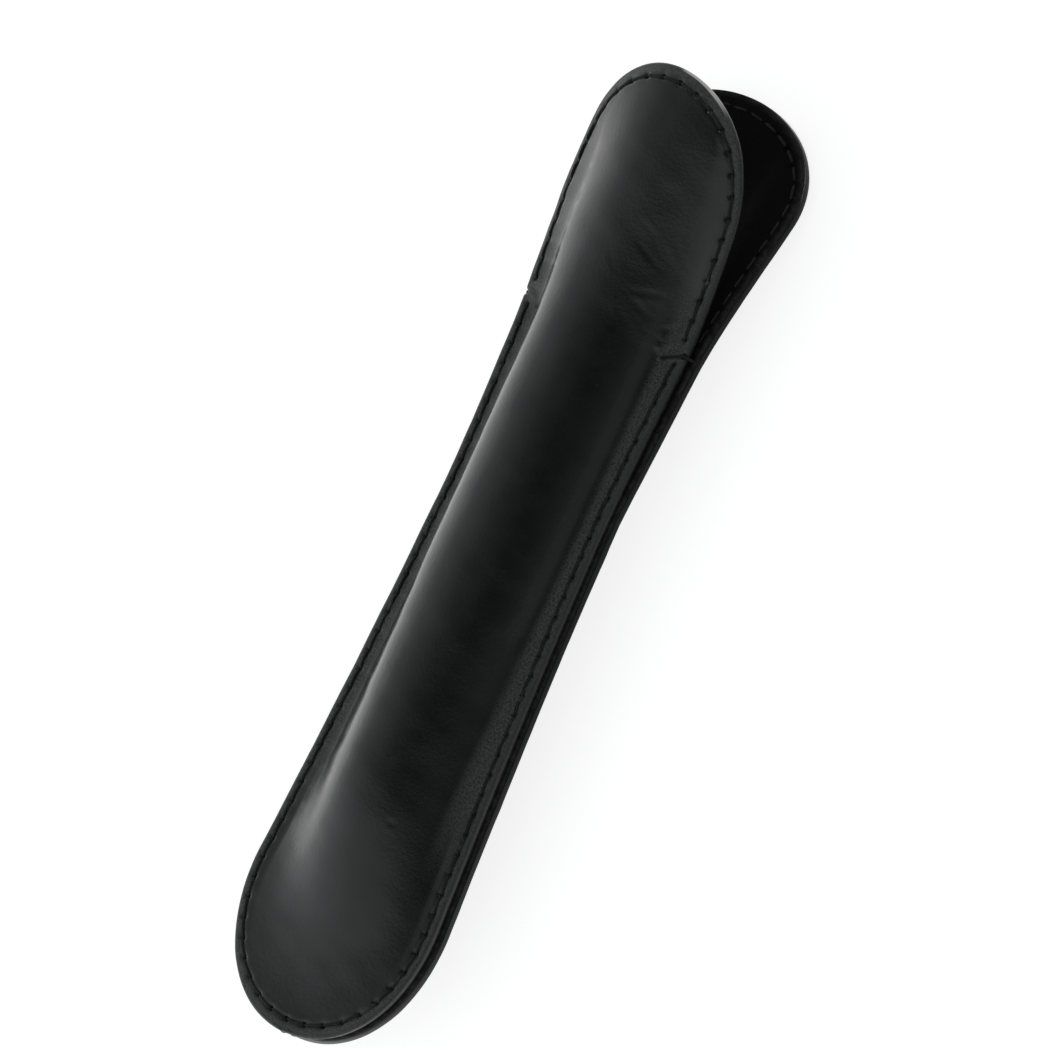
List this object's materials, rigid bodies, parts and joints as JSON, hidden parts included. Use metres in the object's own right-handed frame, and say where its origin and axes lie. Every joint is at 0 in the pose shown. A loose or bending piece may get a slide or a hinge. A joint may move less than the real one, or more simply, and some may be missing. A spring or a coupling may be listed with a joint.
{
  "type": "pen sleeve",
  "caption": "Slim slip-in leather sleeve for a single pen: two stitched, moulded leaves with a rounded closed end and rounded lips that open to let the pen slide in.",
  "frame": {"origin": "centre of the footprint, on the surface that the back lies on", "axes": "+X to the right across the sleeve seen from its front, +Y from the closed end to the open mouth, +Z out of the front face"},
  "size_m": [0.0304, 0.1384, 0.0222],
  "materials": {
    "leather": "smooth black calf leather, fine grain, soft sheen",
    "lining": "thin black lining leather, matt",
    "thread": "waxed black sewing thread"
  },
  "bodies": {
    "sleeve": {"front_body_leather": "leather", "front_body_lining": "lining", "back_body_leather": "leather", "back_body_lining": "lining", "front_seam_thread": "thread", "back_seam_thread": "thread", "left_throat_tack": "thread", "right_throat_tack": "thread"},
    "front_lip": {"front_lip_leather": "leather", "front_lip_lining": "lining", "front_lip_outer_thread": "thread", "front_lip_inner_thread": "thread"},
    "back_lip": {"back_lip_leather": "leather", "back_lip_lining": "lining", "back_lip_outer_thread": "thread", "back_lip_inner_thread": "thread"}
  },
  "joints": [
    {"name": "front_lip_bend", "type": "hinge", "parent": "sleeve", "child": "front_lip", "pos_m": [0, 0.03375, 0.01905], "axis": [1, 0, 0], "range_deg": [-3, 12], "stiffness_Nm_per_rad": 0.15},
    {"name": "back_lip_bend", "type": "hinge", "parent": "sleeve", "child": "back_lip", "pos_m": [0, 0.03375, 0], "axis": [-1, 0, 0], "range_deg": [-3, 12], "stiffness_Nm_per_rad": 0.15}
  ]
}
